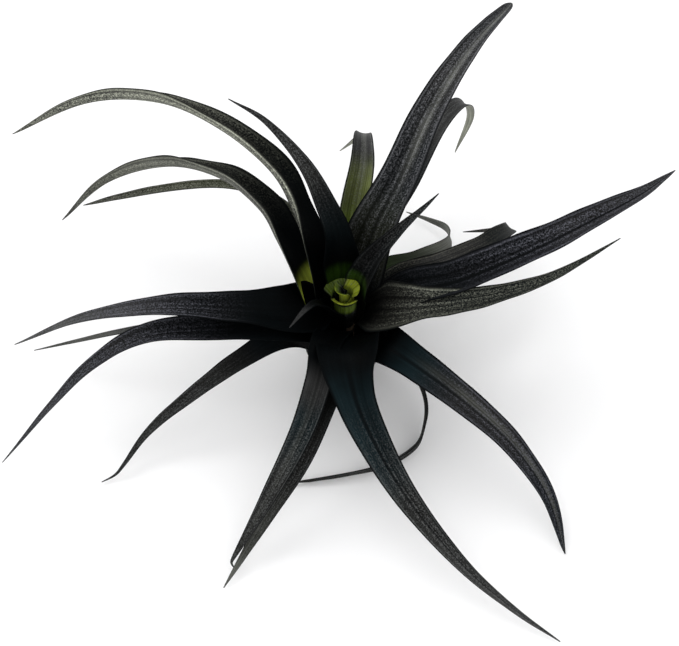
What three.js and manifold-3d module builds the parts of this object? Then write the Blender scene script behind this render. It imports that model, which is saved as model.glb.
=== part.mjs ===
import * as THREE from 'three';
import { mergeVertices } from 'three/addons/utils/BufferGeometryUtils.js';
import Module from 'manifold-3d';

// Air plant: a short stem that holds a rosette of narrow, channelled, tapering leaves.
// Millimetres, +Z up. The origin is the centre of the flat spot under the stem.

const wasm = await Module();
wasm.setup();
const { degToRad, radToDeg, lerp, clamp, smoothstep, mapLinear } = THREE.MathUtils;

// Stem: radius and height up its side, from the flat foot to the rounded top
const STEM_FOOT_RADIUS = 7;
const STEM_SIDE = [
  [STEM_FOOT_RADIUS, 0],
  [8.6, 2],
  [9, 5],
  [7.4, 12],
  [5.6, 20],
  [3.4, 27],
  [1.4, 31],
];
const STEM_TOP = 31.6;
const STEM_FACETS = 20;

// Sheaths: each leaf in turn is rooted higher on the stem and stands nearer to the axis
const FIRST_ROOT_HEIGHT = 4;
const ROOT_RISE = 1.04;
const BULB_RADIUS = 17;
const BULB_STEP = 0.5;
const SHEATH_RISE = 15;
const SHEATH_LENGTH = 18;
const SHEATH_SPREAD = 100;
const SHEATH_FLARE = 1.05;
const NARROWEST_SHEATH = 12;
const SWELL_RISE_SHARE = 0.45;
const SWELL_REACH_SHARE = 0.7;

// Blades: thickest on the midrib, and opened and rolled within a share of their length
const CLEARANCE = 0.3;
const EDGE_THICKNESS = 0.62;
const RIB_THICKNESS = 0.86;
const TIP_WIDTH = 0.9;
const LEAST_FOLDED_WIDTH = 3;
const OPENED_BY = 0.26;
const ROLLED_BY = 0.22;

// Fineness: one cross-section for each length or for each angle of bend, and facets across
const LONG_STEP = 11;
const BEND_STEP = 17;
const BEND_SAMPLES = 300;
const BLADE_FACETS = 4;
const HEART_FACETS = 8;
const HEART_STEPS = 5;

// Leaves from the outermost in. Bearing is where the leaf is rooted, in degrees from +X. Width is
// the blade's at the throat, and fullness how far it keeps that width before it tapers. Blunt is
// how short the tip is: at 1 the taper is even, and above that the width lasts nearly to the end.
// Fold is the angle between the two margins of the channel. Roll is how far the blade is turned
// about its midrib, once it is open and at the tip. Path is the midrib beyond the sheath.
const LEAVES = [
  {
    name: 'leaf_01_right_curled', bearing: 45, width: 8.8, fullness: -0.8, blunt: 8, fold: 60,
    roll: [15, 90],
    path: [
      [15, 24, 27], [28, 28.5, 29], [38, 37, 25], [41.5, 48.5, 16], [40.5, 59.5, 9], [35, 66.5, 5],
      [25.5, 72.5, 3],
    ],
  },
  {
    name: 'leaf_02_left_thin', bearing: 178, width: 3.2, fullness: 0, blunt: 3, fold: 60,
    path: [[-35, -3, 31], [-58, 0, 27], [-83, 1, 20], [-119, 1, 7]],
  },
  {
    name: 'leaf_03_front_curled', bearing: 318, width: 7.5, fullness: -0.5, blunt: 12, fold: 60,
    path: [
      [18.5, -10, 22], [25, -14, 15], [29.5, -21.5, 9], [29.5, -30, 5], [25.5, -39, 3], [10.5, -47.5, 2],
      [-21, -53.5, 1],
    ],
  },
  {
    name: 'leaf_04_back_hooked', bearing: 70, width: 14, fullness: 0, blunt: 1.6, fold: 70,
    path: [[10, 28, 42], [23, 48.5, 51], [35, 71.5, 55.5], [45.5, 89, 50], [51, 100, 30], [46.5, 100.5, 8]],
  },
  {
    name: 'leaf_05_left_low', bearing: 205, width: 12.5, fullness: 0, fold: 60,
    path: [
      [-23, -11.5, 34], [-39, -20, 30], [-58.5, -30, 20], [-72, -38, 11], [-80.5, -47.5, 5], [-84, -50.5, 2],
      [-89, -53, 1],
    ],
  },
  {
    name: 'leaf_06_back_folded', bearing: 90, width: 14, fullness: 0.6, fold: 70,
    path: [[3.5, 40, 43], [6.5, 56, 51], [7, 74, 47], [7, 90, 30], [-2, 96, 14]],
  },
  {
    name: 'leaf_07_front_right', bearing: 320, width: 17.5, fullness: -0.76, blunt: 14, fold: 70,
    path: [[15, -20, 40], [30.5, -32, 39], [45, -41.5, 33], [59, -51, 24], [71.5, -63.5, 11], [78, -82, 1]],
  },
  {
    name: 'leaf_08_back_left_thin', bearing: 125, width: 4.2, fullness: 0.15, blunt: 8, fold: 60,
    path: [
      [-16.5, 34, 40], [-24.5, 42.5, 45], [-40, 50.5, 45], [-60, 57, 38], [-89, 62, 25], [-105, 64.5, 17],
    ],
  },
  {
    name: 'leaf_09_front_under', bearing: 262, width: 15, fullness: 0.4, fold: 90,
    path: [[-4.5, -29, 36], [-8.5, -42, 33], [-15.5, -56, 23], [-27, -71, 10], [-42.5, -95, 1]],
  },
  {
    name: 'leaf_10_right_folded', bearing: 35, width: 9.5, fullness: 0.5, blunt: 1.5, fold: 60,
    path: [
      [20, 14, 36], [35, 17, 40], [50, 25, 40], [58, 34, 36], [64, 44.5, 27], [63.5, 55, 13],
      [48, 60, 5.5],
    ],
  },
  {
    name: 'leaf_11_left_sickle', bearing: 195, width: 18.5, fullness: -0.2, fold: 70,
    path: [
      [-22, -10.5, 42], [-41, -13, 42.5], [-70, -14.5, 40.5], [-90.5, -20.5, 31], [-106, -32, 21],
      [-124, -50, 10],
    ],
  },
  {
    name: 'leaf_12_right_long', bearing: 5, width: 17, fullness: 0.4, blunt: 2.1, fold: 70,
    path: [[22, 2, 43], [40, 3, 48], [67, 11.5, 55], [94, 23.5, 61.5], [109, 32.5, 63], [121.5, 42.5, 64]],
  },
  {
    name: 'leaf_13_left_short_arch', bearing: 160, width: 19, fullness: 0.1, blunt: 1.6, fold: 135,
    roll: [6, 42],
    path: [
      [-17.5, 9, 49], [-23.5, 15.5, 58], [-30, 24.5, 63.5], [-44.5, 36, 67], [-66, 48, 60],
      [-91, 53.5, 44.5], [-110.5, 49.5, 26],
    ],
  },
  {
    name: 'leaf_14_front_long', bearing: 278, width: 23.5, fullness: -0.28, fold: 80,
    path: [
      [1, -23.5, 44], [2, -36, 43], [7, -50, 37], [20.5, -71, 25], [40, -91, 12], [58, -105, 5],
      [73.5, -115, 1],
    ],
  },
  {
    name: 'leaf_15_back_tall', bearing: 65, width: 20.5, fullness: -0.8, blunt: 60, fold: 80,
    path: [[10, 19, 57], [19.5, 33, 70], [30.5, 54.5, 82], [46, 85.5, 82], [66.5, 126.5, 68]],
  },
  {
    name: 'leaf_16_front_left', bearing: 250, width: 11, fullness: 0.9, blunt: 1.2, fold: 90,
    path: [
      [-7, -21, 43], [-9.5, -35, 40], [-15.5, -51, 32], [-28, -70, 17], [-38.5, -84.5, 6], [-40, -87, 4],
      [-38.5, -88.5, 3],
    ],
  },
  {
    name: 'leaf_17_left_long_arch', bearing: 140, width: 17.5, fullness: 0.25, blunt: 1.6, fold: 130,
    roll: [32, 72],
    path: [
      [-11, 8, 56], [-17.5, 17.5, 69.5], [-25.5, 26, 82.5], [-43, 37, 92], [-66, 50, 92], [-96, 64, 77],
      [-128, 71, 52],
    ],
  },
  {
    name: 'leaf_18_right_upturned', bearing: 345, width: 23, fullness: -0.45, fold: 80,
    path: [[21, -7.5, 46], [39, -7.5, 49], [57, -6, 53], [76, -2, 60], [96.5, 6, 70]],
  },
  {
    name: 'leaf_19_left_level', bearing: 185, width: 20, fullness: -0.28, fold: 70,
    path: [[-22, -7.5, 45], [-41, -8.5, 48], [-68, -8, 48], [-95.5, -9, 42], [-120, -14, 33]],
  },
  {
    name: 'leaf_20_young_right', bearing: 40, width: 19, fullness: -0.45, fold: 100,
    path: [[7.5, 1.5, 56], [15, 9, 63], [32.5, 15.5, 83]],
  },
  {
    name: 'leaf_21_young_left', bearing: 225, width: 6, fullness: 0, fold: 90,
    path: [[-10, -11, 54], [-14, -18, 60], [-19, -28, 64]],
  },
  {
    name: 'leaf_22_back_left_upright', bearing: 100, width: 16.5, fullness: -0.3, fold: 90,
    path: [[-2.5, 12, 64], [-6.5, 16, 76], [-14, 23, 90], [-27, 31.5, 102], [-40, 36.5, 108]],
  },
];

// Heart leaves, rolled round each other: bearing of the midrib, radius of the roll, how far round
// it wraps in degrees, and the heights of its base and top
const HEART_LEAVES = [
  { name: 'heart_leaf_1', bearing: 130, radius: 5.1, wrap: 150, base: 27, top: 46 },
  { name: 'heart_leaf_2', bearing: 265, radius: 4.1, wrap: 190, base: 28.3, top: 47 },
  { name: 'heart_leaf_3', bearing: 20, radius: 3.1, wrap: 230, base: 29.6, top: 48.5 },
  { name: 'heart_leaf_4', bearing: 215, radius: 1.9, wrap: 280, base: 32, top: 49.5 },
];
const HEART_OPENED_BY = 0.4;
const HEART_NARROWS_FROM = 0.7;
const HEART_TIP_NARROWING = 0.45;

// The stem's radius at a height; above its side, the last slope goes on
function stemRadiusAt(height) {
  const below = STEM_SIDE.slice(0, -1).findLastIndex((point) => point[1] <= height);
  const [lowRadius, lowHeight] = STEM_SIDE[below];
  const [highRadius, highHeight] = STEM_SIDE[below + 1];
  return mapLinear(height, lowHeight, highHeight, lowRadius, highRadius);
}

// A point at a distance from the axis, in the direction of a bearing
function around(radius, bearing, height) {
  const angle = degToRad(bearing);
  return new THREE.Vector3(radius * Math.cos(angle), radius * Math.sin(angle), height);
}

function midribOf(leaf, rank) {
  const rootHeight = FIRST_ROOT_HEIGHT + ROOT_RISE * rank;
  const root = stemRadiusAt(rootHeight) + CLEARANCE + RIB_THICKNESS / 2;
  const bulb = BULB_RADIUS - BULB_STEP * rank;
  const swell = lerp(root, bulb, SWELL_REACH_SHARE);
  const points = [
    around(root, leaf.bearing, rootHeight),
    around(swell, leaf.bearing, rootHeight + SHEATH_RISE * SWELL_RISE_SHARE),
    around(bulb, leaf.bearing, rootHeight + SHEATH_RISE),
    ...leaf.path.map((point) => new THREE.Vector3(...point)),
  ];
  return new THREE.CatmullRomCurve3(points, false, 'catmullrom', 0.5);
}

// Places along a curve, closer together where it bends
function placesAlong(curve) {
  const step = curve.getLength() / BEND_SAMPLES;
  const effort = [0];
  let before = curve.getTangentAt(0);
  for (let i = 1; i <= BEND_SAMPLES; i += 1) {
    const tangent = curve.getTangentAt(i / BEND_SAMPLES);
    const bend = radToDeg(before.angleTo(tangent));
    effort.push(effort[i - 1] + step / LONG_STEP + bend / BEND_STEP);
    before = tangent;
  }
  const count = Math.ceil(effort[BEND_SAMPLES]);
  const places = [];
  let i = 0;
  for (let n = 0; n < count; n += 1) {
    const wanted = (effort[BEND_SAMPLES] * n) / count;
    while (effort[i + 1] < wanted) {
      i += 1;
    }
    places.push(mapLinear(wanted, effort[i], effort[i + 1], i, i + 1) / BEND_SAMPLES);
  }
  return [...places, 1];
}

function rollAt(leaf, beyond) {
  const [first, tip] = leaf.roll ?? [0, 0];
  return beyond < ROLLED_BY
    ? first * smoothstep(beyond, 0, ROLLED_BY)
    : lerp(first, tip, smoothstep(beyond, ROLLED_BY, 1));
}

// Cross-sections of a leaf. In the sheath it curls round the axis, and beyond it the blade opens
// to its own channel.
function leafStations(leaf, rank) {
  const curve = midribOf(leaf, rank);
  const sheathShare = SHEATH_LENGTH / curve.getLength();
  const stations = [];
  let side = null;
  for (const along of placesAlong(curve)) {
    const place = curve.getPointAt(along);
    const forward = curve.getTangentAt(along).normalize();
    const outward = new THREE.Vector3(place.x, place.y, 0);
    side ??= new THREE.Vector3().crossVectors(forward, outward);
    side.addScaledVector(forward, -side.dot(forward)).normalize();

    const beyond = clamp((along - sheathShare) / (1 - sheathShare), 0, 1);
    const opened = smoothstep(beyond, 0, OPENED_BY);
    const turned = side.clone().applyAxisAngle(forward, degToRad(rollAt(leaf, beyond)));
    const inward = new THREE.Vector3().crossVectors(forward, turned).normalize();

    const reach = outward.length();
    const roomRound = reach * degToRad(SHEATH_SPREAD);
    const sheathWidth = Math.min(Math.max(leaf.width * SHEATH_FLARE, NARROWEST_SHEATH), roomRound);
    const taper = (1 - beyond ** (leaf.blunt ?? 1)) * (1 + leaf.fullness * beyond);
    const width = lerp(sheathWidth, leaf.width * taper + TIP_WIDTH * beyond, opened);
    const bladeCurl = degToRad(leaf.fold) / Math.max(width, LEAST_FOLDED_WIDTH);
    const curl = lerp(Math.abs(forward.z) / reach, bladeCurl, opened);
    stations.push({ place, inward, turned, curl, width });
  }
  return stations;
}

function heartStations(leaf) {
  const root = stemRadiusAt(leaf.base) + CLEARANCE + EDGE_THICKNESS / 2;
  const inward = around(-1, leaf.bearing, 0);
  const turned = new THREE.Vector3().crossVectors(inward, new THREE.Vector3(0, 0, 1));
  const stations = [];
  for (let i = 0; i <= HEART_STEPS; i += 1) {
    const along = i / HEART_STEPS;
    const radius = lerp(Math.min(root, leaf.radius), leaf.radius, smoothstep(along, 0, HEART_OPENED_BY));
    const place = around(radius, leaf.bearing, lerp(leaf.base, leaf.top, along));
    const narrowed = 1 - HEART_TIP_NARROWING * smoothstep(along, HEART_NARROWS_FROM, 1);
    const width = radius * degToRad(leaf.wrap) * narrowed;
    stations.push({ place, inward, turned, curl: 1 / radius, width });
  }
  return stations;
}

// One cross-section as a ring of points: over the inner face from margin to margin, and back
// under the outer face
function ringAt({ place, inward, turned, curl, width }, grow, facets) {
  const radius = 1 / curl;
  const ring = [];
  for (const face of [1, -1]) {
    for (let i = 0; i <= facets; i += 1) {
      const offset = face * ((2 * i) / facets - 1);
      const half = lerp(RIB_THICKNESS, EDGE_THICKNESS, offset * offset) / 2 + grow;
      const angle = (offset * (width / 2 + grow)) / radius;
      const distance = radius - face * half;
      const point = place.clone()
        .addScaledVector(inward, radius - distance * Math.cos(angle))
        .addScaledVector(turned, distance * Math.sin(angle));
      ring.push(point.x, point.y, point.z);
    }
  }
  return ring;
}

// A closed strip through the cross-sections, split into triangles alike on both faces
function strip(stations, grow, facets) {
  const ringSize = 2 * (facets + 1);
  const index = [];
  for (let s = 0; s < stations.length - 1; s += 1) {
    for (let i = 0; i < ringSize; i += 1) {
      const a = s * ringSize + i;
      const b = s * ringSize + ((i + 1) % ringSize);
      const c = b + ringSize;
      const d = a + ringSize;
      const onInnerFace = i <= facets;
      index.push(...(onInnerFace ? [a, c, b, a, d, c] : [a, d, b, b, d, c]));
    }
  }
  const last = (stations.length - 1) * ringSize;
  for (let i = 0; i < facets; i += 1) {
    const a = i;
    const b = i + 1;
    const c = ringSize - 2 - i;
    const d = ringSize - 1 - i;
    index.push(a, b, c, a, c, d);
    index.push(last + a, last + c, last + b, last + a, last + d, last + c);
  }
  const geometry = new THREE.BufferGeometry();
  const positions = stations.flatMap((station) => ringAt(station, grow, facets));
  geometry.setAttribute('position', new THREE.Float32BufferAttribute(positions, 3));
  geometry.setIndex(index);
  return geometry;
}

function stemGeometry(grow) {
  const outline = [
    new THREE.Vector2(0, -grow),
    ...STEM_SIDE.map(([radius, height], i) => new THREE.Vector2(radius + grow, i === 0 ? -grow : height)),
    new THREE.Vector2(0, STEM_TOP + grow),
  ];
  return new THREE.LatheGeometry(outline, STEM_FACETS).rotateX(Math.PI / 2);
}

function solidOf(geometry) {
  const bare = geometry.clone();
  bare.deleteAttribute('normal');
  bare.deleteAttribute('uv');
  const merged = mergeVertices(bare, 1e-4);
  return new wasm.Manifold(new wasm.Mesh({
    numProp: 3,
    vertProperties: merged.attributes.position.array,
    triVerts: new Uint32Array(merged.index.array),
  }));
}

function geometryOf(solid) {
  const mesh = solid.getMesh();
  const geometry = new THREE.BufferGeometry();
  geometry.setAttribute('position', new THREE.BufferAttribute(mesh.vertProperties, 3));
  geometry.setIndex(new THREE.BufferAttribute(mesh.triVerts, 1));
  geometry.computeVertexNormals();
  return geometry;
}

// What is left of a leaf beside the pieces inside it, without any loose crumbs
function fitted(solid, insidePieces) {
  const cut = insidePieces.reduce((rest, piece) => rest.subtract(piece), solid);
  return cut.decompose().reduce((a, b) => (b.volume() > a.volume() ? b : a));
}

const stemMaterial = new THREE.MeshStandardMaterial({ color: 0x6b4f33, roughness: 0.9, metalness: 0 });
const leafMaterial = new THREE.MeshStandardMaterial({ color: 0x2b3230, roughness: 0.7, metalness: 0 });
const heartMaterial = new THREE.MeshStandardMaterial({ color: 0x7f9440, roughness: 0.6, metalness: 0 });

const stem = new THREE.Mesh(stemGeometry(0), stemMaterial);
stem.name = 'stem';

// Leaves are fitted from the heart outwards, each round the pieces inside it
const outwards = [
  ...HEART_LEAVES.map((leaf) => ({
    name: leaf.name, stations: heartStations(leaf), facets: HEART_FACETS, material: heartMaterial,
  })).reverse(),
  ...LEAVES.map((leaf, rank) => ({
    name: leaf.name, stations: leafStations(leaf, rank), facets: BLADE_FACETS, material: leafMaterial,
  })).reverse(),
];
const insidePieces = [solidOf(stemGeometry(CLEARANCE))];
const leafMeshes = outwards.map(({ name, stations, facets, material }) => {
  const solid = fitted(solidOf(strip(stations, 0, facets)), insidePieces);
  insidePieces.push(solidOf(strip(stations, CLEARANCE, facets)));
  const mesh = new THREE.Mesh(geometryOf(solid), material.clone());
  mesh.name = name;
  return mesh;
});

const group = new THREE.Group();
group.add(stem, ...leafMeshes.reverse());

export default group;
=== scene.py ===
# %% [markdown]
# # An air plant, leaf by leaf
# An air plant has no pot and no roots to speak of: it is a short stem that holds a rosette of
# leaves. Each leaf is a long tapering strip, hollowed like a gutter, whose foot wraps round the
# stem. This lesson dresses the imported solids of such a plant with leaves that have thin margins,
# a crease, veins and the fine silvery scales through which the plant drinks.
#
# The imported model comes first, because every leaf is laid where its solid is.

# %% Load the frame
import math

import bpy
from mathutils import Matrix, Vector


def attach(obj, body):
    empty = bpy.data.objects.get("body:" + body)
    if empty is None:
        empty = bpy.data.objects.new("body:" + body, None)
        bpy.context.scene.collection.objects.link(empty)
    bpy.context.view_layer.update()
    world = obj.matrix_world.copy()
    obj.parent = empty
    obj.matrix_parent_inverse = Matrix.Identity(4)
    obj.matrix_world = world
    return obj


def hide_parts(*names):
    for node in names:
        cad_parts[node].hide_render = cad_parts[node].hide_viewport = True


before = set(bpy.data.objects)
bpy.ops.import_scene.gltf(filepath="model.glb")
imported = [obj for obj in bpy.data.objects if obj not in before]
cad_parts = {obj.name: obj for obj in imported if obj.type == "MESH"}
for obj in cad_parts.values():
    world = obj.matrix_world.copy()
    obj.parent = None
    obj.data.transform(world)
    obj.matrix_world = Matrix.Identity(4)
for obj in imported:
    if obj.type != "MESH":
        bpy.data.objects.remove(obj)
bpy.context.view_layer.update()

# %% [markdown]
# ## The camera
# The photograph looks down on the plant at 55 degrees. The camera is made first, because it can
# then be used to compare each leaf with the photograph as soon as it is laid. A long lens from
# about half a metre keeps the front leaves only a little larger than the back ones.

# %% Camera
MM = 0.001
LOOK_DOWN = 55
CAMERA_DISTANCE = 540 * MM
CAMERA_LENS = 79.53
SENSOR_WIDTH = 36
NEAREST_SEEN = 0.01
FARTHEST_SEEN = 20
AIM = Vector((-2, -10, 41)) * MM

down = math.radians(LOOK_DOWN)
eye = AIM + CAMERA_DISTANCE * Vector((0, -math.cos(down), math.sin(down)))
bpy.ops.object.camera_add(location=eye, rotation=(math.pi / 2 - down, 0, 0))
camera = bpy.context.object
camera.name = "camera"
camera.data.lens = CAMERA_LENS
camera.data.sensor_width = SENSOR_WIDTH
camera.data.clip_start = NEAREST_SEEN
camera.data.clip_end = FARTHEST_SEEN
bpy.context.scene.camera = camera
print("camera at", [round(c, 4) for c in camera.location])

# %% [markdown]
# ## Working by hand, in a script
# An operator acts on whatever is selected, just as it does on the screen. So each step first
# deselects everything, and then picks the one piece it works on. One small helper does that, and
# another adds a modifier and applies it at once, so that the finished piece is plain mesh. Two
# more are only for numbers: smoothstep rises gently from 0 to 1 between two limits, and mix goes
# from one value to another.

# %% Helpers for picking pieces, applying modifiers and blending numbers
def pick(piece):
    """Only this piece is selected, and it is the active one."""
    if bpy.context.object and bpy.context.object.mode != "OBJECT":
        bpy.ops.object.mode_set(mode="OBJECT")
    bpy.ops.object.select_all(action="DESELECT")
    piece.select_set(True)
    bpy.context.view_layer.objects.active = piece


def apply_modifier(piece, kind, **settings):
    """Add one modifier with these settings, and apply it."""
    pick(piece)
    bpy.ops.object.modifier_add(type=kind)
    modifier = piece.modifiers[-1]
    for name, value in settings.items():
        setattr(modifier, name, value)
    bpy.ops.object.modifier_apply(modifier=modifier.name)


def smoothstep(value, low, high):
    share = min(max((value - low) / (high - low), 0), 1)
    return share * share * (3 - 2 * share)


def mix(a, b, share):
    return a + (b - a) * share


# %% [markdown]
# ## Floor and light
# The plant stands on a white surface in bright, soft light, with faint shadows that fall to the
# front right. A bright world gives the even light, and one broad lamp behind and to the left
# gives the direction. Colours are shown plainly, so white stays white. The floor lies a hair
# below the foot of the stem, so that the two flat faces don't fight for the same place.

# %% Floor, lamp and world
FLOOR_SIZE = 4.0
FLOOR_DROP = 0.2 * MM
FLOOR_WHITE = (0.96, 0.96, 0.965, 1)
FLOOR_ROUGHNESS = 0.9
FLOOR_SHINE = 0.1
SKY_STRENGTH = 1.1
LAMP_PLACE = Vector((-0.55, 0.62, 1.15))
LAMP_SIZE = 0.7
LAMP_POWER = 4.0

bpy.ops.object.select_all(action="DESELECT")
bpy.ops.mesh.primitive_plane_add(size=FLOOR_SIZE, location=(0, 0, -FLOOR_DROP))
floor = bpy.context.object
floor.name = "floor"
floor_material = bpy.data.materials.new("white surface")
floor_material.use_nodes = True
floor_shader = floor_material.node_tree.nodes["Principled BSDF"]
floor_shader.inputs["Base Color"].default_value = FLOOR_WHITE
floor_shader.inputs["Roughness"].default_value = FLOOR_ROUGHNESS
floor_shader.inputs["Specular IOR Level"].default_value = FLOOR_SHINE
floor.data.materials.append(floor_material)

bpy.ops.object.light_add(type="AREA", location=LAMP_PLACE)
lamp = bpy.context.object
lamp.name = "broad_lamp"
lamp.data.size = LAMP_SIZE
lamp.data.energy = LAMP_POWER
lamp.rotation_euler = (AIM - LAMP_PLACE).to_track_quat("-Z", "Y").to_euler()

world = bpy.data.worlds.new("soft white")
world.use_nodes = True
background = world.node_tree.nodes["Background"]
background.inputs["Color"].default_value = (1, 1, 1, 1)
background.inputs["Strength"].default_value = SKY_STRENGTH
bpy.context.scene.world = world
bpy.context.scene.view_settings.view_transform = "Standard"
print("floor, lamp and world are set")

# %% [markdown]
# ## What tells one leaf from another
# The rosette has 22 leaves, listed from the outermost in. Each row says where the leaf is rooted
# round the stem (bearing), how wide its blade is at the throat, how much of that width it keeps on
# its way (fullness) and how late and bluntly it runs out to its tip (blunt), how strongly it is
# folded, and the path of its midrib past the sheath. Three blades also lie on their side: their
# roll is the turn about the midrib that they reach soon after the sheath, and the one at the tip.
#
# After the leaves come the sizes that they share: the side of the stem as radii and heights, how
# the roots climb it, how a sheath swells out round the bulb, and where it opens into the blade.
# All of them are the sizes of the solids, so a dressed leaf lies where its solid does.

# %% Leaf sizes, in millimetres and degrees
LEAVES = [
    dict(name="leaf_01_right_curled", bearing=45, width=8.8, fullness=-0.8, blunt=8, fold=60,
         roll=(15, 90), path=[(15, 24, 27), (28, 28.5, 29), (38, 37, 25), (41.5, 48.5, 16),
                              (40.5, 59.5, 9), (35, 66.5, 5), (25.5, 72.5, 3)]),
    dict(name="leaf_02_left_thin", bearing=178, width=3.2, fullness=0, blunt=3, fold=60,
         path=[(-35, -3, 31), (-58, 0, 27), (-83, 1, 20), (-119, 1, 7)]),
    dict(name="leaf_03_front_curled", bearing=318, width=7.5, fullness=-0.5, blunt=12, fold=60,
         path=[(18.5, -10, 22), (25, -14, 15), (29.5, -21.5, 9), (29.5, -30, 5), (25.5, -39, 3),
               (10.5, -47.5, 2), (-21, -53.5, 1)]),
    dict(name="leaf_04_back_hooked", bearing=70, width=14, fullness=0, blunt=1.6, fold=70,
         path=[(10, 28, 42), (23, 48.5, 51), (35, 71.5, 55.5), (45.5, 89, 50), (51, 100, 30),
               (46.5, 100.5, 8)]),
    dict(name="leaf_05_left_low", bearing=205, width=12.5, fullness=0, fold=60,
         path=[(-23, -11.5, 34), (-39, -20, 30), (-58.5, -30, 20), (-72, -38, 11),
               (-80.5, -47.5, 5), (-84, -50.5, 2), (-89, -53, 1)]),
    dict(name="leaf_06_back_folded", bearing=90, width=14, fullness=0.6, fold=70,
         path=[(3.5, 40, 43), (6.5, 56, 51), (7, 74, 47), (7, 90, 30), (-2, 96, 14)]),
    dict(name="leaf_07_front_right", bearing=320, width=17.5, fullness=-0.76, blunt=14, fold=70,
         path=[(15, -20, 40), (30.5, -32, 39), (45, -41.5, 33), (59, -51, 24), (71.5, -63.5, 11),
               (78, -82, 1)]),
    dict(name="leaf_08_back_left_thin", bearing=125, width=4.2, fullness=0.15, blunt=8, fold=60,
         path=[(-16.5, 34, 40), (-24.5, 42.5, 45), (-40, 50.5, 45), (-60, 57, 38),
               (-89, 62, 25), (-105, 64.5, 17)]),
    dict(name="leaf_09_front_under", bearing=262, width=15, fullness=0.4, fold=90,
         path=[(-4.5, -29, 36), (-8.5, -42, 33), (-15.5, -56, 23), (-27, -71, 10),
               (-42.5, -95, 1)]),
    dict(name="leaf_10_right_folded", bearing=35, width=9.5, fullness=0.5, blunt=1.5, fold=60,
         path=[(20, 14, 36), (35, 17, 40), (50, 25, 40), (58, 34, 36), (64, 44.5, 27),
               (63.5, 55, 13), (48, 60, 5.5)]),
    dict(name="leaf_11_left_sickle", bearing=195, width=18.5, fullness=-0.2, fold=70,
         path=[(-22, -10.5, 42), (-41, -13, 42.5), (-70, -14.5, 40.5), (-90.5, -20.5, 31),
               (-106, -32, 21), (-124, -50, 10)]),
    dict(name="leaf_12_right_long", bearing=5, width=17, fullness=0.4, blunt=2.1, fold=70,
         path=[(22, 2, 43), (40, 3, 48), (67, 11.5, 55), (94, 23.5, 61.5), (109, 32.5, 63),
               (121.5, 42.5, 64)]),
    dict(name="leaf_13_left_short_arch", bearing=160, width=19, fullness=0.1, blunt=1.6, fold=135,
         roll=(6, 42), path=[(-17.5, 9, 49), (-23.5, 15.5, 58), (-30, 24.5, 63.5), (-44.5, 36, 67),
                             (-66, 48, 60), (-91, 53.5, 44.5), (-110.5, 49.5, 26)]),
    dict(name="leaf_14_front_long", bearing=278, width=23.5, fullness=-0.28, fold=80,
         path=[(1, -23.5, 44), (2, -36, 43), (7, -50, 37), (20.5, -71, 25), (40, -91, 12),
               (58, -105, 5), (73.5, -115, 1)]),
    dict(name="leaf_15_back_tall", bearing=65, width=20.5, fullness=-0.8, blunt=60, fold=80,
         path=[(10, 19, 57), (19.5, 33, 70), (30.5, 54.5, 82), (46, 85.5, 82), (66.5, 126.5, 68)]),
    dict(name="leaf_16_front_left", bearing=250, width=11, fullness=0.9, blunt=1.2, fold=90,
         path=[(-7, -21, 43), (-9.5, -35, 40), (-15.5, -51, 32), (-28, -70, 17), (-38.5, -84.5, 6),
               (-40, -87, 4), (-38.5, -88.5, 3)]),
    dict(name="leaf_17_left_long_arch", bearing=140, width=17.5, fullness=0.25, blunt=1.6, fold=130,
         roll=(32, 72), path=[(-11, 8, 56), (-17.5, 17.5, 69.5), (-25.5, 26, 82.5), (-43, 37, 92),
                              (-66, 50, 92), (-96, 64, 77), (-128, 71, 52)]),
    dict(name="leaf_18_right_upturned", bearing=345, width=23, fullness=-0.45, fold=80,
         path=[(21, -7.5, 46), (39, -7.5, 49), (57, -6, 53), (76, -2, 60), (96.5, 6, 70)]),
    dict(name="leaf_19_left_level", bearing=185, width=20, fullness=-0.28, fold=70,
         path=[(-22, -7.5, 45), (-41, -8.5, 48), (-68, -8, 48), (-95.5, -9, 42), (-120, -14, 33)]),
    dict(name="leaf_20_young_right", bearing=40, width=19, fullness=-0.45, fold=100,
         path=[(7.5, 1.5, 56), (15, 9, 63), (32.5, 15.5, 83)]),
    dict(name="leaf_21_young_left", bearing=225, width=6, fullness=0, fold=90,
         path=[(-10, -11, 54), (-14, -18, 60), (-19, -28, 64)]),
    dict(name="leaf_22_back_left_upright", bearing=100, width=16.5, fullness=-0.3, fold=90,
         path=[(-2.5, 12, 64), (-6.5, 16, 76), (-14, 23, 90), (-27, 31.5, 102),
               (-40, 36.5, 108)]),
]
HEART_LEAVES = [
    dict(name="heart_leaf_1", bearing=130, radius=5.1, wrap=150, base=27, top=46),
    dict(name="heart_leaf_2", bearing=265, radius=4.1, wrap=190, base=28.3, top=47),
    dict(name="heart_leaf_3", bearing=20, radius=3.1, wrap=230, base=29.6, top=48.5),
    dict(name="heart_leaf_4", bearing=215, radius=1.9, wrap=280, base=32, top=49.5),
]
STEM_SIDE = [(7, 0), (8.6, 2), (9, 5), (7.4, 12), (5.6, 20), (3.4, 27), (1.4, 31)]
FIRST_ROOT_HEIGHT = 4
ROOT_RISE = 1.04
BULB_RADIUS = 17
BULB_STEP = 0.5
SHEATH_RISE = 15
SHEATH_LENGTH = 18
SHEATH_SPREAD = 100
SHEATH_FLARE = 1.05
NARROWEST_SHEATH = 12
SWELL_RISE_SHARE = 0.45
SWELL_REACH_SHARE = 0.7
ROOM_AT_ROOT = 0.73
OPENED_BY = 0.26
ROLLED_BY = 0.22
LEAST_FOLDED_WIDTH = 3
TIP_WIDTH = 0.35
print(len(LEAVES), "leaves and", len(HEART_LEAVES), "heart leaves")

# %% [markdown]
# ## A midrib is a smooth curve
# A leaf grows out of the stem, swells out round the bulb, and only then takes its own way. A
# curve that passes through every given point suits that best, because the points can be read
# off the plant. Places on it are found by length, so that the blade's width and colour change
# evenly from root to tip.

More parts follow.
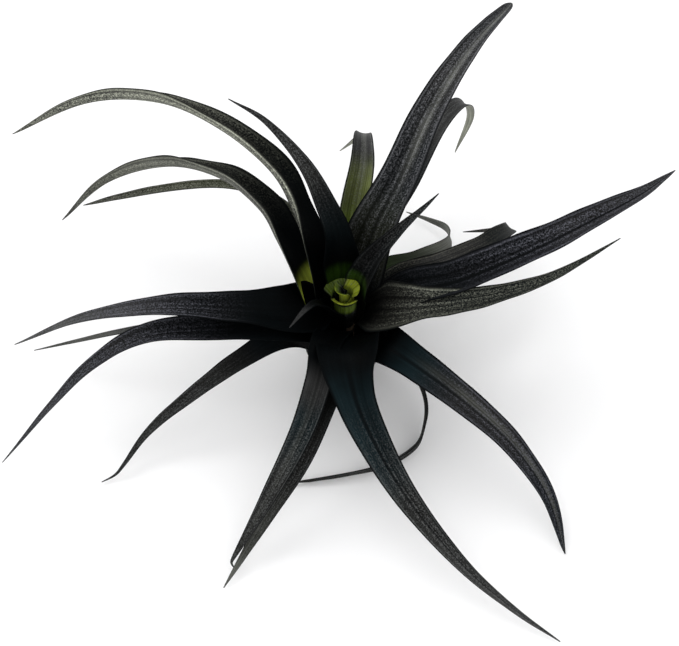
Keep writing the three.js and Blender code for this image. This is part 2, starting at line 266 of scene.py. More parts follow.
# %% Midribs
SAMPLES_A_SPAN = 40


def around(radius, bearing, height):
    """A point at a distance from the axis, in the direction of a bearing."""
    angle = math.radians(bearing)
    return Vector((radius * math.cos(angle), radius * math.sin(angle), height))


def stem_radius_at(height):
    """The stem's radius at a height. Above the last span its slope runs on."""
    for (low_radius, low), (high_radius, high) in zip(STEM_SIDE, STEM_SIDE[1:]):
        if height < high or (low_radius, low) == STEM_SIDE[-2]:
            return mix(low_radius, high_radius, (height - low) / (high - low))


def smooth_path(points):
    """Closely spaced points on the curve through the given ones, with their distances along it."""
    ends = [points[0] * 2 - points[1], *points, points[-1] * 2 - points[-2]]
    path = []
    for p0, p1, p2, p3 in zip(ends, ends[1:], ends[2:], ends[3:]):
        start, finish = (p2 - p0) * 0.5, (p3 - p1) * 0.5
        for i in range(SAMPLES_A_SPAN):
            t = i / SAMPLES_A_SPAN
            path.append(p1 + start * t + (3 * (p2 - p1) - 2 * start - finish) * t ** 2
                        + (2 * (p1 - p2) + start + finish) * t ** 3)
    path.append(points[-1])
    lengths = [0.0]
    for a, b in zip(path, path[1:]):
        lengths.append(lengths[-1] + (b - a).length)
    return path, lengths


def midrib(leaf, rank):
    """A leaf's path from its root, over the bulb and along its own points. The higher its rank,
    the higher up the stem it is rooted."""
    root_height = FIRST_ROOT_HEIGHT + ROOT_RISE * rank
    root = stem_radius_at(root_height) + ROOM_AT_ROOT
    bulb = BULB_RADIUS - BULB_STEP * rank
    swell = mix(root, bulb, SWELL_REACH_SHARE)
    return smooth_path([
        around(root, leaf["bearing"], root_height),
        around(swell, leaf["bearing"], root_height + SHEATH_RISE * SWELL_RISE_SHARE),
        around(bulb, leaf["bearing"], root_height + SHEATH_RISE),
        *[Vector(point) for point in leaf["path"]],
    ])


def place_on(path, lengths, share):
    """The place and direction at a share of the curve's length."""
    wanted = share * lengths[-1]
    i = 0
    while i < len(path) - 2 and lengths[i + 1] < wanted:
        i += 1
    place = path[i].lerp(path[i + 1], (wanted - lengths[i]) / (lengths[i + 1] - lengths[i]))
    before, after = path[max(i - 1, 0)], path[min(i + 2, len(path) - 1)]
    return place, (after - before).normalized()


longest = max(midrib(leaf, rank)[1][-1] for rank, leaf in enumerate(LEAVES))
print("the longest midrib is", round(longest), "mm")

# %% [markdown]
# ## One blank for every leaf
# All the leaves have the same build, so one flat blank is modelled and copied. It is a grid, long
# rows from root to tip, with its columns drawn closer together at the margins and at the crease,
# where the leaf bends most. In edit mode that is a matter of picking a pair of columns and
# scaling them outwards from the middle. The grid's own UV map remembers which place on the blank
# is root, tip, crease or margin.

# %% The leaf blank
BLANK_ROWS = 84
BLANK_COLUMNS = 12
CROWDING = 1.12
SAME_COLUMN = 0.01

bpy.ops.object.select_all(action="DESELECT")
bpy.ops.mesh.primitive_grid_add(x_subdivisions=BLANK_COLUMNS, y_subdivisions=BLANK_ROWS, size=2)
blank = bpy.context.object
blank.name = "leaf_blank"


def pick_columns(piece, distance):
    """In object mode, select the points at this distance from the middle column."""
    for vertex in piece.data.vertices:
        vertex.select = abs(abs(vertex.co.x) - distance) < SAME_COLUMN


for column in range(1, BLANK_COLUMNS // 2):
    bpy.ops.object.mode_set(mode="EDIT")
    bpy.ops.mesh.select_mode(type="VERT")
    bpy.ops.mesh.select_all(action="DESELECT")
    bpy.ops.object.mode_set(mode="OBJECT")
    even = column / (BLANK_COLUMNS / 2)
    pick_columns(blank, even)
    bpy.ops.object.mode_set(mode="EDIT")
    # One sine wave draws the inner columns towards the crease, and the outer ones to the margin.
    wanted = even + (CROWDING - 1) * math.sin(2 * math.pi * even) / -2
    bpy.ops.transform.resize(value=(wanted / even, 1, 1), center_override=(0, 0, 0))
# Laid on a midrib, the grid would show its back in the channel, so it is turned over here.
bpy.ops.mesh.select_all(action="SELECT")
bpy.ops.mesh.flip_normals()
bpy.ops.object.mode_set(mode="OBJECT")
print("blank of", len(blank.data.polygons), "faces, columns at",
      sorted({round(v.co.x, 2) for v in blank.data.vertices}))

# %% [markdown]
# ## Laying a blank along its midrib
# A blank could be bent with a Curve modifier. That keeps one cross-section all the way, though,
# and these leaves change theirs: the foot is a sheath that curls round the stem, and the blade
# beyond it opens to its own channel, some with a sharp crease, some rolled on their side. So each
# row is placed on the midrib in code, and its points are turned up to both sides of it.
#
# Real margins are never quite even. A slow ripple with a faster one over it, both strongest at
# the margin, keeps them from looking cut out.

# %% How a row lies
BEND_PARTS = 10
CREASE_REACH = 0.16
CREASED_BY = 0.2
RIPPLE = 0.35
SLOW_WAVES = 19
FAST_WAVES = 41
FAST_SHARE = 0.6
RIPPLE_GROWS = (0.02, 0.2)
FULLY_RIPPLED_WIDTH = 12


def roll_at(leaf, beyond):
    """How far the blade is turned about its midrib, in degrees."""
    first, tip = leaf.get("roll", (0, 0))
    if beyond < ROLLED_BY:
        return first * smoothstep(beyond, 0, ROLLED_BY)
    return mix(first, tip, smoothstep(beyond, ROLLED_BY, 1))


def leaf_rows(leaf, rank, count):
    """For each row: its place, its two directions, its whole fold in radians, its width, and how
    far it lies beyond the sheath."""
    path, lengths = midrib(leaf, rank)
    sheath_share = SHEATH_LENGTH / lengths[-1]
    rows = []
    side = None
    for n in range(count):
        along = n / (count - 1)
        place, forward = place_on(path, lengths, along)
        outward = Vector((place.x, place.y, 0))
        if side is None:
            side = forward.cross(outward)
        side = (side - forward * side.dot(forward)).normalized()
        beyond = min(max((along - sheath_share) / (1 - sheath_share), 0), 1)
        opened = smoothstep(beyond, 0, OPENED_BY)
        turned = Matrix.Rotation(math.radians(roll_at(leaf, beyond)), 3, forward) @ side
        inward = forward.cross(turned).normalized()
        reach = outward.length
        room_round = reach * math.radians(SHEATH_SPREAD)
        sheath_width = min(max(leaf["width"] * SHEATH_FLARE, NARROWEST_SHEATH), room_round)
        taper = (1 - beyond ** leaf.get("blunt", 1)) * (1 + leaf["fullness"] * beyond)
        width = mix(sheath_width, leaf["width"] * taper + TIP_WIDTH * beyond, opened)
        blade_fold = math.radians(leaf["fold"]) * min(width / LEAST_FOLDED_WIDTH, 1)
        fold = mix(abs(forward.z) / reach * width, blade_fold, opened)
        rows.append((place, turned, inward, fold, width, beyond))
    return rows


def across_row(offset, width, fold, crease):
    """Where a point of the blank lies beside and above the midrib, for an offset of -1 to 1."""
    beside = above = 0.0
    distance = abs(offset)
    step = distance / BEND_PARTS
    for part in range(BEND_PARTS):
        at = (part + 0.5) * step
        turn = fold / 2 * mix(at, 1 - math.exp(-at / CREASE_REACH), crease)
        beside += math.cos(turn) * step * width / 2
        above += math.sin(turn) * step * width / 2
    return math.copysign(beside, offset), above


def point_values(mesh, **kinds):
    """Make named values for every point. They are fetched once all of them are made, because
    making one moves the others."""
    for name, kind in kinds.items():
        mesh.attributes.new(name, kind, "POINT")
    return [mesh.attributes[name] for name in kinds]


def lay(piece, rows, crease, phase):
    """Move each point of a blank to its place in its row, and note the row for the finishes."""
    mesh = piece.data
    along, across = point_values(mesh, along="FLOAT", across="FLOAT")
    for vertex in mesh.vertices:
        offset, row = vertex.co.x, round((vertex.co.y + 1) / 2 * (len(rows) - 1))
        place, turned, inward, fold, width, beyond = rows[row]
        beside, above = across_row(offset, width, fold, crease * smoothstep(beyond, 0, CREASED_BY))
        wave = math.sin(beyond * SLOW_WAVES + phase)
        wave += FAST_SHARE * math.sin(beyond * FAST_WAVES + 2 * phase * offset)
        above += (RIPPLE * wave * offset ** 2 * smoothstep(beyond, *RIPPLE_GROWS)
                  * min(width / FULLY_RIPPLED_WIDTH, 1))
        along.data[vertex.index].value = beyond
        across.data[vertex.index].value = offset
        vertex.co = (place + turned * beside + inward * above) * MM


# %% [markdown]
# ## Body for the blade
# The blade is thickest along its midrib and thin as paper at the margins. Solidify gives it that
# body, with a vertex group that says how much each point gets. The two faces are then told
# apart, because the underside has its own colour, and one level of subdivision rounds it off.

# %% Thickness and finish of a blade
RIB_THICKNESS = 0.75
MARGIN_SHARE = 0.32
TIP_SHARE = 0.45
TIP_THINS_FROM = 0.6


def give_body(piece, rib=RIB_THICKNESS):
    """Thicken a laid strip, mark the points of its underside, and round it off."""
    mesh = piece.data
    upper = [vertex.co.copy() for vertex in mesh.vertices]
    normals = [vertex.normal.copy() for vertex in mesh.vertices]
    group = piece.vertex_groups.new(name="body")
    for vertex in mesh.vertices:
        offset = mesh.attributes["across"].data[vertex.index].value
        beyond = mesh.attributes["along"].data[vertex.index].value
        at_tip = smoothstep(beyond, TIP_THINS_FROM, 1)
        share = mix(1, MARGIN_SHARE, offset ** 2) * mix(1, TIP_SHARE, at_tip)
        group.add([vertex.index], share, "REPLACE")
    apply_modifier(piece, "SOLIDIFY", thickness=rib * MM, offset=0, vertex_group="body",
                   use_even_offset=False)
    # Solidify moves the old points to one face and adds new ones for the other. Which of the two
    # is the upper face shows in the way that the old points have moved.
    mesh = piece.data
    count = len(upper)
    lifted = sum((mesh.vertices[i].co - upper[i]).dot(normals[i]) > 0 for i in range(count))
    first_is_upper = lifted > count / 2
    under, = point_values(mesh, underside="FLOAT")
    for i in range(len(mesh.vertices)):
        under.data[i].value = float((i >= count) == first_is_upper)
    apply_modifier(piece, "SUBSURF", levels=1, render_levels=1)
    pick(piece)
    bpy.ops.object.shade_smooth()


# %% [markdown]
# ## Tones
# The blades are charcoal with a cold green cast, grey where the scales lie thick, and
# yellow-green only where light has not reached them: in the heart and at the foot of a few
# blades. Each leaf gets its own run of tones from foot to tip, mixed from a small palette, and
# another for its underside.
#
# Two things depend on the place in the rosette instead, and both are painted light. Down in the
# throat little light gets between the blades, so tones and scales get painted shade towards the
# axis of the stem (throat). And the blades that touch the heart get painted green light on their
# upper face, as if lit through its thin young leaves (heart light). A few blades also get a painted
# sheen along the channel, and one half painted lighter and the other darker, as the light falls.

# %% Palette and tones
PALETTE = {
    "black": (3, 5, 6),
    "ink": (8, 12, 14),
    "teal": (13, 24, 27),
    "charcoal": (28, 28, 27),
    "olive": (34, 37, 24),
    "slate": (48, 48, 48),
    "pewter": (78, 79, 74),
    "ash": (132, 134, 122),
    "pale ash": (160, 162, 148),
    "frost": (204, 207, 188),
    "moss": (30, 50, 8),
    "leaf green": (84, 104, 24),
    "olive green": (92, 100, 52),
    "lime": (138, 150, 30),
    "yellow green": (205, 222, 84),
    "cool silver": (108, 109, 118),
    "silver": (120, 122, 122),
    "bright silver": (152, 153, 158),
    "warm silver": (124, 123, 110),
}


def tone(name):
    """A palette colour as Blender's linear red, green and blue."""
    linear = []
    for level in PALETTE[name]:
        share = level / 255
        linear.append(share / 12.92 if share <= 0.04045 else ((share + 0.055) / 1.055) ** 2.4)
    return Vector(linear)


def tone_along(run, beyond):
    """The tone at a share of the blade, from a run of places and the tones there."""
    for (low, first), (high, second) in zip(run, run[1:]):
        if beyond <= high:
            return tone(first).lerp(tone(second), smoothstep(beyond, low, high))
    return tone(run[-1][1])


def evenly(*names):
    """A run of tones, spaced evenly from foot to tip."""
    return [(place / (len(names) - 1), name) for place, name in enumerate(names)]


DARK_UNDER = evenly("ink", "charcoal", "pewter")
GREY_UNDER = evenly("slate", "ash", "ash")
THROAT_SHADE = 0.22


def look_of(upper, under=DARK_UNDER, scales=(0, 0.5), under_scales=(0, 0.5), silver="silver",
            painted_half_light=(1, 1), painted_sheen=(0, 0), crease=0.2, throat=THROAT_SHADE, heart_light=0):
    """How one leaf looks: the runs of tones of its upper face and underside; the scales on both,
    at foot and tip, and their tone; the painted light on its two halves, lighter above 1 and
    darker below; a painted sheen's strength and its place across the blade; how sharply the
    blade is creased; how much painted shade it gets in the throat; and how much painted green
    light it gets beside the heart."""
    return dict(upper=upper, under=under, scales=scales, under_scales=under_scales, silver=silver,
                painted_half_light=painted_half_light, painted_sheen=painted_sheen, crease=crease, throat=throat, heart_light=heart_light)


LOOKS = {
    "leaf_01_right_curled": look_of(
        evenly("moss", "pewter", "pewter"), evenly("olive", "pewter", "pewter"), scales=(0, 0.2)),
    "leaf_02_left_thin": look_of(evenly("ink", "slate", "pewter"), GREY_UNDER),
    "leaf_03_front_curled": look_of(evenly("charcoal", "charcoal"), evenly("charcoal", "charcoal")),
    "leaf_04_back_hooked": look_of(
        [(0, "ink"), (0.35, "ink"), (0.5, "slate"), (0.7, "slate"), (0.85, "ash")],
        [(0, "olive"), (0.6, "pewter"), (0.75, "ash")], scales=(0.2, 0.4)),
    "leaf_05_left_low": look_of(
        [(0, "black"), (0.2, "ink"), (0.4, "charcoal"), (1, "charcoal")], scales=(0, 0.5)),
    "leaf_06_back_folded": look_of(
        [(0, "leaf green"), (0.18, "leaf green"), (0.34, "olive green"), (0.52, "slate"),
         (0.75, "slate"), (0.9, "pale ash")],
        evenly("moss", "slate", "pale ash"), scales=(0.4, 0.5), painted_half_light=(1.3, 0.6),
        painted_sheen=(0.5, -0.1), crease=0),
    "leaf_07_front_right": look_of(
        [(0, "black"), (0.15, "black"), (0.25, "teal"), (0.45, "charcoal"), (0.6, "charcoal"),
         (0.8, "ink")],
        scales=(0, 0.8), silver="cool silver", painted_sheen=(0.6, 0.3), crease=0.7),
    "leaf_08_back_left_thin": look_of(
        evenly("ink", "olive", "charcoal"), evenly("charcoal", "slate", "slate"),
        scales=(0.5, 0.7), under_scales=(0.8, 0.8), silver="pale ash"),
    "leaf_09_front_under": look_of(evenly("ink", "charcoal", "pewter"), crease=0.3),
    "leaf_10_right_folded": look_of(
        [(0, "ink"), (0.1, "ink"), (0.22, "slate"), (0.38, "slate"), (0.5, "ink"), (1, "ink")],
        evenly("ink", "slate", "slate"), scales=(0.4, 0.2), silver="warm silver", crease=0.3),
    "leaf_11_left_sickle": look_of(
        [(0, "black"), (0.4, "black"), (0.62, "charcoal"), (1, "slate")], scales=(0, 0.9),
        silver="cool silver"),
    "leaf_12_right_long": look_of(
        [(0, "ink"), (0.15, "ink"), (0.3, "black"), (0.5, "black"), (0.66, "charcoal"),
         (1, "slate")], scales=(0.2, 1), silver="cool silver", painted_half_light=(1, 0.9), crease=1),
    "leaf_13_left_short_arch": look_of(
        [(0, "yellow green"), (0.06, "yellow green"), (0.12, "black"), (0.35, "black"),
         (0.6, "charcoal")],
        [(0, "slate"), (0.3, "slate"), (0.5, "pewter"), (0.8, "pewter"), (1, "slate")],
        scales=(0, 0.4), under_scales=(0.7, 0.8), silver="pale ash", throat=1),
    "leaf_14_front_long": look_of(
        [(0, "black"), (0.14, "black"), (0.26, "teal"), (0.38, "teal"), (0.55, "charcoal"),
         (1, "slate")],
        scales=(0, 0.8), painted_half_light=(1.5, 0.8), crease=0.8),
    "leaf_15_back_tall": look_of(
        [(0, "ink"), (0.1, "olive"), (0.3, "ink"), (0.6, "charcoal"), (0.85, "ink"), (1, "black")],
        evenly("moss", "olive", "slate"), scales=(0.5, 0.75), silver="bright silver",
        painted_half_light=(1.2, 0.7), painted_sheen=(1, -0.1), crease=0.4),
    "leaf_16_front_left": look_of(
        [(0, "black"), (0.18, "black"), (0.3, "slate"), (0.42, "teal"), (0.65, "charcoal")],
        scales=(0, 0.6), painted_half_light=(1.2, 0.9), painted_sheen=(0.25, 0), crease=0.3),
    "leaf_17_left_long_arch": look_of(
        [(0, "black"), (0.3, "black"), (1, "slate")],
        [(0, "slate"), (0.28, "slate"), (0.42, "pewter"), (0.58, "pewter"), (0.75, "slate")],
        scales=(0, 0.4), under_scales=(0.9, 1), silver="frost"),
    "leaf_18_right_upturned": look_of(
        [(0, "slate"), (0.1, "charcoal"), (0.3, "ink"), (1, "ink")],
        evenly("black", "slate", "slate"), scales=(1, 0.7), silver="ash", throat=0.02, heart_light=0.8),
    "leaf_19_left_level": look_of(
        [(0, "black"), (0.4, "black"), (0.62, "slate"), (1, "pewter")], scales=(0, 1),
        silver="cool silver", crease=0.3),
    "leaf_20_young_right": look_of(
        [(0, "olive"), (0.1, "olive"), (0.25, "ink"), (1, "ink")], scales=(0.8, 0.9),
        painted_half_light=(1.5, 0.6), crease=0.5, heart_light=1),
    "leaf_21_young_left": look_of(
        [(0, "black"), (0.5, "black"), (0.75, "slate")],
        [(0, "black"), (0.5, "black"), (0.75, "slate")], scales=(0, 0.2), crease=0.4),
    "leaf_22_back_left_upright": look_of(
        [(0, "black"), (0.1, "black"), (0.3, "teal"), (0.55, "charcoal")], scales=(0, 0.7),
        crease=0.3, heart_light=0.8),
    # Painted shade: the black towards the foot of heart leaves 1, 2 and 4, and over most of the
    # upper face of heart_leaf_4, stands for the deep dark hole in the middle. The black band just
    # under the lip of heart_leaf_2's underside is a painted shadow beneath that lip.
    "heart_leaf_1": look_of(
        [(0, "black"), (0.5, "moss"), (0.75, "moss"), (0.9, "leaf green")],
        evenly("black", "black", "moss"), throat=1),
    "heart_leaf_2": look_of(
        evenly("black", "moss", "lime"),
        [(0, "black"), (0.5, "black"), (0.62, "leaf green"), (0.74, "leaf green"), (0.8, "black"),
         (0.96, "black"), (1, "lime")], throat=1),
    "heart_leaf_3": look_of(
        evenly("moss", "leaf green", "lime"), evenly("moss", "lime", "lime"), throat=1),
    "heart_leaf_4": look_of(
        [(0, "black"), (0.86, "black"), (0.97, "leaf green")], evenly("leaf green", "lime"),
        throat=1),
}
SHEEN_TONE = "pewter"
SHEEN_HALF_WIDTH = 0.22
SHEEN_GROWS = (0.2, 0.45)
SCALES_GROW = (0.2, 0.55)
HALVES_MEET = (-0.5, 0.5)
THROAT_REACH = (10, 32)
HEART_PLACE = Vector((0, 0, 46))
HEART_LIGHT_REACH = (8, 12)
HEART_LIGHT_TONE = "moss"


def paint(piece, look):
    """Write the tones, the amount of scales and the crease into the mesh, point by point."""
    mesh = piece.data
    colours, amounts, silvers, fold_line = point_values(
        mesh, tone="FLOAT_COLOR", scales="FLOAT", silver="FLOAT_COLOR", crease="FLOAT")
    along, across = mesh.attributes["along"].data, mesh.attributes["across"].data
    under = mesh.attributes["underside"].data
    strength, middle = look["painted_sheen"]
    for i in range(len(mesh.vertices)):
        beyond, offset, below = along[i].value, across[i].value, under[i].value
        colour = tone_along(look["upper"], beyond)
        # Painted sheen: a pale band along the blade, where a highlight would lie.
        share = math.exp(-((offset - middle) / SHEEN_HALF_WIDTH) ** 2)
        share *= strength * smoothstep(beyond, *SHEEN_GROWS)
        colour = colour.lerp(tone(SHEEN_TONE), share)
        # Painted light and shade: one half of the upper face is made lighter and the other darker,
        # and the darker half shows fewer scales.
        side = mix(*look["painted_half_light"], smoothstep(offset, *HALVES_MEET))
        colour *= side
        colour = colour.lerp(tone_along(look["under"], beyond), below)
        # Painted shade darkens tones and scales towards the axis, down in the throat. Painted green
        # light falls on upper faces near the heart, as if through its young leaves.
        from_axis = mesh.vertices[i].co.xy.length / MM
        from_heart = (mesh.vertices[i].co / MM - HEART_PLACE).length
        shade = mix(look["throat"], 1, smoothstep(from_axis, *THROAT_REACH))
        heart_light = look["heart_light"] * (1 - smoothstep(from_heart, *HEART_LIGHT_REACH)) * (1 - below)
        colours.data[i].color = (*(colour * shade).lerp(tone(HEART_LIGHT_TONE), heart_light), 1)
        grown = smoothstep(beyond, *SCALES_GROW)
        on_top, on_back = mix(*look["scales"], grown), mix(*look["under_scales"], grown)
        amount = mix(on_top * min(side, 1), on_back, below)
        amounts.data[i].value = amount * shade
        silvers.data[i].color = (*tone(look["silver"]), 1)
        fold_line.data[i].value = look["crease"]


print(len(LOOKS), "looks from", len(PALETTE), "tones")

# %% [markdown]
# ## The skin of a leaf
# Close up, a leaf shows five things at once: long veins from root to tip, broader light and dark
# streaks beside them, a grain of tiny silvery scales, a slow cloudiness, and a thin dark margin.
# Just inside the margin a painted highlight in the scales' silver stands for the thin edge catching
# the light, and a sharp crease gets a dark line of painted shade. Veins, streaks and the rows in
# which the scales stand must follow the blade however it bends, so they read the UV map that the
# blank brought along. The scales themselves are the same size everywhere, so they
# read Object coordinates. A fine bump of veins and scales catches the light.
#
# Most of the numbers are ranges of four: what lies between the first two values is spread
# between the last two. "Aside" is the distance from the midrib, which is 1 at the margin.

# %% A small hand for nodes
def add_node(tree, kind, inputs=None, **settings):
    """One node. Its inputs are numbers, colours or the sockets that feed them."""
    made = tree.nodes.new(kind)
    for name, value in settings.items():
        setattr(made, name, value)
    for name, value in (inputs or {}).items():
        socket = made.inputs[name]
        if isinstance(value, bpy.types.NodeSocket):
            tree.links.new(value, socket)
        else:
            socket.default_value = value
    return made


def calculate(tree, operation, *values):
    made = add_node(tree, "ShaderNodeMath", dict(enumerate(values)), operation=operation)
    return made.outputs[0]


def blend_colours(tree, share, first, second, mode="MIX"):
    made = add_node(tree, "ShaderNodeMix", {0: share, 6: first, 7: second},
                    data_type="RGBA", blend_type=mode)
    return made.outputs[2]


def spread(tree, value, low, high, new_low=0.0, new_high=1.0):
    """A value between two limits, spread between two new ones."""
    made = add_node(tree, "ShaderNodeMapRange", {
        "Value": value, "From Min": low, "From Max": high, "To Min": new_low, "To Max": new_high})
    return made.outputs["Result"]


def value_of(tree, attribute):
    return add_node(tree, "ShaderNodeAttribute", attribute_name=attribute).outputs["Fac"]


def colour_of(tree, attribute):
    return add_node(tree, "ShaderNodeAttribute", attribute_name=attribute).outputs["Color"]


def stretched(tree, where, scale):
    return add_node(tree, "ShaderNodeMapping", {"Vector": where, "Scale": scale}).outputs["Vector"]


def noise(tree, where, scale, detail):
    return add_node(tree, "ShaderNodeTexNoise", {
        "Vector": where, "Scale": scale, "Detail": detail}).outputs["Fac"]


# %% Leaf skin
FINE_GRAIN = 1900
GRAIN_ROWS = (46, 120, 1)
VEINS = (30, 1.5, 1)
STREAKS = (9, 1.1, 1)
CLOUDS = 60
CLOUDS_TO_TONE = (0.35, 0.65, 0.7, 1.3)
GRAIN_TO_SPECKS = (0.4, 0.64, 0.0, 1.0)
ROWS_TO_SPECKS = (0.38, 0.6, 0.3, 1.0)
STREAKS_TO_SPECKS = (0.35, 0.6, 0.3, 1.0)
SCALES_TO_LINES = (0.0, 0.5, 0.35, 1.0)
VEINS_TO_TONE = (0.3, 0.7, 0.55, 1.45)
STREAKS_TO_TONE = (0.3, 0.7, 0.65, 1.35)
ASIDE_TO_EDGE_HIGHLIGHT = (0.78, 0.86, 0.0, 0.25)
ASIDE_TO_CREASE_SHADE = (0.14, 0.05, 0.0, 0.9)
ASIDE_TO_MARGIN = (0.86, 0.95, 0.0, 0.9)
SCALE_COVER = 0.75
SKIN_IOR = 1.15
ROUGHNESS_VARIES = 0.1
VEINS_IN_RELIEF = 0.6
GRAIN_IN_RELIEF = 0.4
RELIEF_STRENGTH = 0.5
RELIEF_HEIGHT = 0.25 * MM


def leaf_skin(name, roughness, specular):
    material = bpy.data.materials.new(name)
    material.use_nodes = True
    tree = material.node_tree
    shader = tree.nodes["Principled BSDF"]
    here = add_node(tree, "ShaderNodeTexCoord")
    tones, silver = (colour_of(tree, name) for name in ("tone", "silver"))
    scales, across, crease = (value_of(tree, name) for name in ("scales", "across", "crease"))
    aside = calculate(tree, "ABSOLUTE", across)

    veins = noise(tree, stretched(tree, here.outputs["UV"], VEINS), 1.0, detail=3.0)
    streaks = noise(tree, stretched(tree, here.outputs["UV"], STREAKS), 1.0, detail=2.0)
    rows = noise(tree, stretched(tree, here.outputs["UV"], GRAIN_ROWS), 1.0, detail=1.0)
    grain = noise(tree, here.outputs["Object"], FINE_GRAIN, detail=2.0)
    clouds = noise(tree, here.outputs["Object"], CLOUDS, detail=3.0)

    cloudy = blend_colours(tree, 1.0, tones, spread(tree, clouds, *CLOUDS_TO_TONE), "MULTIPLY")
    specks = calculate(tree, "MULTIPLY", spread(tree, grain, *GRAIN_TO_SPECKS),
                       spread(tree, rows, *ROWS_TO_SPECKS))
    dusted = calculate(tree, "MULTIPLY", specks, spread(tree, streaks, *STREAKS_TO_SPECKS))
    amount = calculate(tree, "MULTIPLY", calculate(tree, "MULTIPLY", dusted, scales), SCALE_COVER)
    silvered = blend_colours(tree, amount, cloudy, silver)
    # Painted highlight: a light line in the scales' silver just inside the margin, where the thin
    # edge catches the light.
    edge_highlight = calculate(tree, "MULTIPLY", spread(tree, aside, *ASIDE_TO_EDGE_HIGHLIGHT), scales)
    edge_highlighted = blend_colours(tree, edge_highlight, silvered, silver)
    # Blades with few scales are smoother, so their veins and streaks show less.
    lined = spread(tree, scales, *SCALES_TO_LINES)
    veined = blend_colours(tree, lined, edge_highlighted, spread(tree, veins, *VEINS_TO_TONE), "MULTIPLY")
    streaked = blend_colours(tree, lined, veined, spread(tree, streaks, *STREAKS_TO_TONE),
                             "MULTIPLY")
    black = (*tone("black"), 1)
    # Painted shade: a dark line along a sharp crease.
    crease_shade = calculate(tree, "MULTIPLY", spread(tree, aside, *ASIDE_TO_CREASE_SHADE), crease)
    crease_shaded = blend_colours(tree, crease_shade, streaked, black)
    edged = blend_colours(tree, spread(tree, aside, *ASIDE_TO_MARGIN), crease_shaded, black)
    tree.links.new(edged, shader.inputs["Base Color"])

    rough = spread(tree, grain, 0.3, 0.7, roughness - ROUGHNESS_VARIES,
                   roughness + ROUGHNESS_VARIES)
    tree.links.new(rough, shader.inputs["Roughness"])
    relief = calculate(tree, "ADD", calculate(tree, "MULTIPLY", veins, VEINS_IN_RELIEF),
                       calculate(tree, "MULTIPLY", grain, GRAIN_IN_RELIEF))
    bump = add_node(tree, "ShaderNodeBump", {
        "Height": relief, "Strength": RELIEF_STRENGTH, "Distance": RELIEF_HEIGHT})
    tree.links.new(bump.outputs["Normal"], shader.inputs["Normal"])
    shader.inputs["Specular IOR Level"].default_value = specular
    shader.inputs["IOR"].default_value = SKIN_IOR
    return material


blade_skin = leaf_skin("charcoal leaf skin", roughness=0.5, specular=0.22)
heart_skin = leaf_skin("yellow-green heart skin", roughness=0.45, specular=0.6)
print("skins:", blade_skin.name, "and", heart_skin.name)

# %% [markdown]
# ## Making the leaves
# Each leaf is a copy of the blank with a mesh of its own, laid, given body, painted and then
# put in the place of its solid.

# %% Lay every blade
PHASE_STEP = 1.7


def copy_of_blank(name):
    piece = blank.copy()
    piece.data = blank.data.copy()
    piece.name = piece.data.name = name
    bpy.context.collection.objects.link(piece)
    return piece


def dress(piece, node, skin):
    """Give a piece its skin, hang it under the root, and hide the solid whose place it takes."""
    piece.data.materials.clear()
    piece.data.materials.append(skin)
    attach(piece, "root")
    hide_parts(node)


for rank, leaf in enumerate(LEAVES):
    look = LOOKS[leaf["name"]]
    blade = copy_of_blank(leaf["name"].replace("leaf", "blade"))
    lay(blade, leaf_rows(leaf, rank, BLANK_ROWS + 1), look["crease"], phase=rank * PHASE_STEP)
    give_body(blade)
    paint(blade, look)
    dress(blade, leaf["name"], blade_skin)
    print(blade.name, len(blade.data.polygons), "faces")

# %% [markdown]
# ## The heart
# In the middle the youngest leaves are still rolled round each other, so from above they show
# as a few yellow-green curls with a dark hole. They are laid from the same blank: their midribs
# stand upright, their rows wrap most of the way round, and their rims flare out as lips.

# %% Roll the heart leaves
HEART_ROOM_AT_ROOT = 0.61
HEART_OPENED_BY = 0.4
HEART_NARROWS_FROM = 0.7
HEART_TIP_NARROWING = 0.45
LIP_FROM = 0.86
LIP_REACH = {"heart_leaf_1": 2.6, "heart_leaf_2": 2.2, "heart_leaf_3": 2.2, "heart_leaf_4": 1.9}
HEART_RIB = 0.6


def heart_rows(leaf, count):
    """The rows of an upright, rolled leaf, in the same form as leaf_rows gives them."""
    root = min(stem_radius_at(leaf["base"]) + HEART_ROOM_AT_ROOT, leaf["radius"])
    inward = around(-1, leaf["bearing"], 0)
    turned = inward.cross(Vector((0, 0, 1)))
    rows = []
    for n in range(count):
        along = n / (count - 1)
        radius = mix(root, leaf["radius"], smoothstep(along, 0, HEART_OPENED_BY))
        radius += LIP_REACH[leaf["name"]] * smoothstep(along, LIP_FROM, 1)
        place = around(radius, leaf["bearing"], mix(leaf["base"], leaf["top"], along))
        narrowed = 1 - HEART_TIP_NARROWING * smoothstep(along, HEART_NARROWS_FROM, 1)
        fold = math.radians(leaf["wrap"]) * narrowed
        rows.append((place, turned, inward, fold, radius * fold, along))
    return rows


for leaf in HEART_LEAVES:
    curl = copy_of_blank(leaf["name"].replace("leaf", "curl"))
    lay(curl, heart_rows(leaf, BLANK_ROWS + 1), 0, phase=leaf["bearing"])
    give_body(curl, rib=HEART_RIB)
    paint(curl, LOOKS[leaf["name"]])
    dress(curl, leaf["name"], heart_skin)
    print(curl.name, len(curl.data.polygons), "faces")

bpy.data.objects.remove(blank)

# %% [markdown]
# ## The stem
# Under the sheaths is a short woody stem with a flat foot. A circle is filled, and then
# extruded and scaled up its side ring by ring, as one would turn it on a lathe. Its bark is
# dry and brown, ringed where older leaves have dropped.

# %% Raise the stem
STEM_SIDES = 48
RING_HEIGHT = 1.0
SMOOTH_UNDER = 50

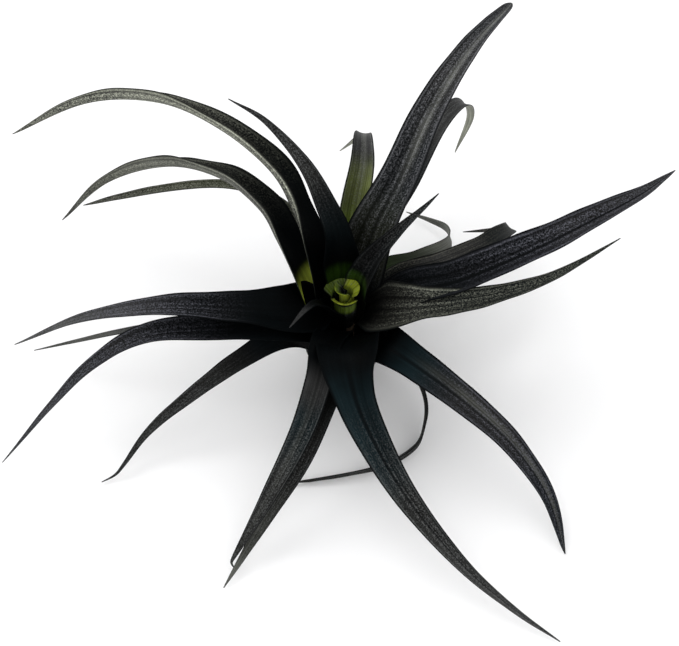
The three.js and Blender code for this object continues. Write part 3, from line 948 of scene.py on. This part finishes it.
bpy.ops.object.select_all(action="DESELECT")
foot_radius = STEM_SIDE[0][0]
bpy.ops.mesh.primitive_circle_add(vertices=STEM_SIDES, radius=foot_radius * MM, fill_type="NGON",
                                  location=(0, 0, 0))
stem = bpy.context.object
stem.name = "stem_core"
bpy.ops.object.mode_set(mode="EDIT")
bpy.ops.mesh.select_all(action="SELECT")
height, radius = 0.0, float(foot_radius)
while height < STEM_SIDE[-1][1] - RING_HEIGHT / 2:
    new_radius = stem_radius_at(height + RING_HEIGHT)
    bpy.ops.mesh.extrude_region_move(TRANSFORM_OT_translate={"value": (0, 0, RING_HEIGHT * MM)})
    bpy.ops.transform.resize(value=(new_radius / radius, new_radius / radius, 1),
                             center_override=(0, 0, (height + RING_HEIGHT) * MM))
    height, radius = height + RING_HEIGHT, new_radius
bpy.ops.mesh.select_all(action="SELECT")
bpy.ops.mesh.normals_make_consistent(inside=False)
bpy.ops.object.mode_set(mode="OBJECT")
bpy.ops.object.shade_smooth_by_angle(angle=math.radians(SMOOTH_UNDER))
print("stem", len(stem.data.polygons), "faces, top at", round(height, 1), "mm")

# %% Dry bark
BARK_RINGS = (120, 120, 1100)
BARK_FIBRES = 900
BARK_CRACKS = (0.03, 0.02, 0.012, 1)
BARK_BROWN = (0.12, 0.08, 0.05, 1)
BARK_DUST = (0.2, 0.17, 0.13, 1)
BARK_ROUGHNESS = 0.9
BARK_RELIEF_STRENGTH = 0.7
BARK_RELIEF_HEIGHT = 0.4 * MM


def dry_bark():
    material = bpy.data.materials.new("dry bark")
    material.use_nodes = True
    tree = material.node_tree
    shader = tree.nodes["Principled BSDF"]
    here = add_node(tree, "ShaderNodeTexCoord").outputs["Object"]
    rings = noise(tree, stretched(tree, here, BARK_RINGS), 1.0, detail=4.0)
    fibres = noise(tree, here, BARK_FIBRES, detail=3.0)
    brown = blend_colours(tree, spread(tree, rings, 0.35, 0.65), BARK_CRACKS, BARK_BROWN)
    dusty = blend_colours(tree, spread(tree, fibres, 0.5, 0.7, 0.0, 0.4), brown, BARK_DUST)
    tree.links.new(dusty, shader.inputs["Base Color"])
    bump = add_node(tree, "ShaderNodeBump", {
        "Height": rings, "Strength": BARK_RELIEF_STRENGTH, "Distance": BARK_RELIEF_HEIGHT})
    tree.links.new(bump.outputs["Normal"], shader.inputs["Normal"])
    shader.inputs["Roughness"].default_value = BARK_ROUGHNESS
    return material


dress(stem, "stem", dry_bark())
print("stem dressed")
